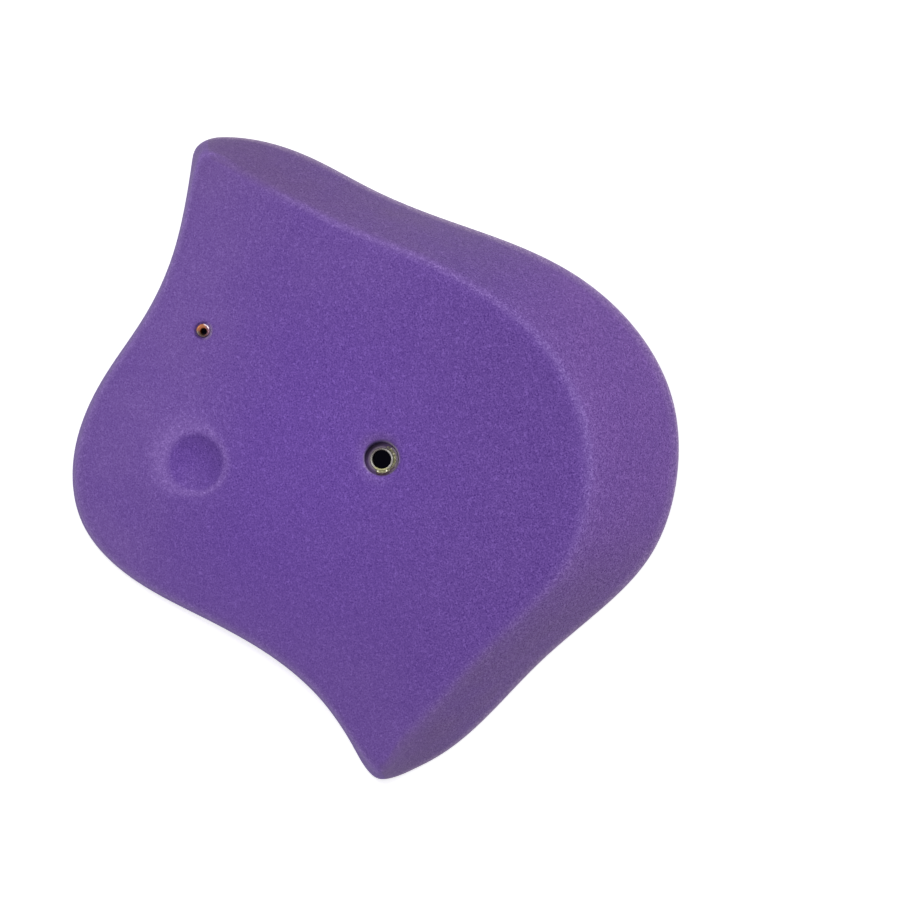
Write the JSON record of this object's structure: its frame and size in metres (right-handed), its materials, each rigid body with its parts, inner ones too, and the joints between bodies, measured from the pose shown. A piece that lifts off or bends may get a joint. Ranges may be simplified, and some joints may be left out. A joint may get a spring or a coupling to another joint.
{
  "type": "climbing hold",
  "caption": "Large hollow-backed climbing sloper with a tilted grip face, a sloped side band, a thumb dimple, a counterbored steel bolt seat and a set screw eyelet.",
  "frame": {"origin": "on the wall plane, in the middle of the footprint", "axes": "+Z out of the wall, +Y up the wall towards the crest, +X along the long side, to the right for someone who faces the wall"},
  "size_m": [0.3984, 0.3614, 0.0714],
  "materials": {
    "purple_polyurethane": "cast polyurethane with a fine sandy grip texture",
    "bare_steel": "worn bare steel",
    "yellow_zinc": "yellow green zinc plating",
    "copper": "polished copper colour"
  },
  "bodies": {
    "root": {"hold_body": "purple_polyurethane", "bolt_sleeve": "bare_steel", "bolt_washer": "yellow_zinc", "set_screw_eyelet": "copper"}
  },
  "joints": []
}
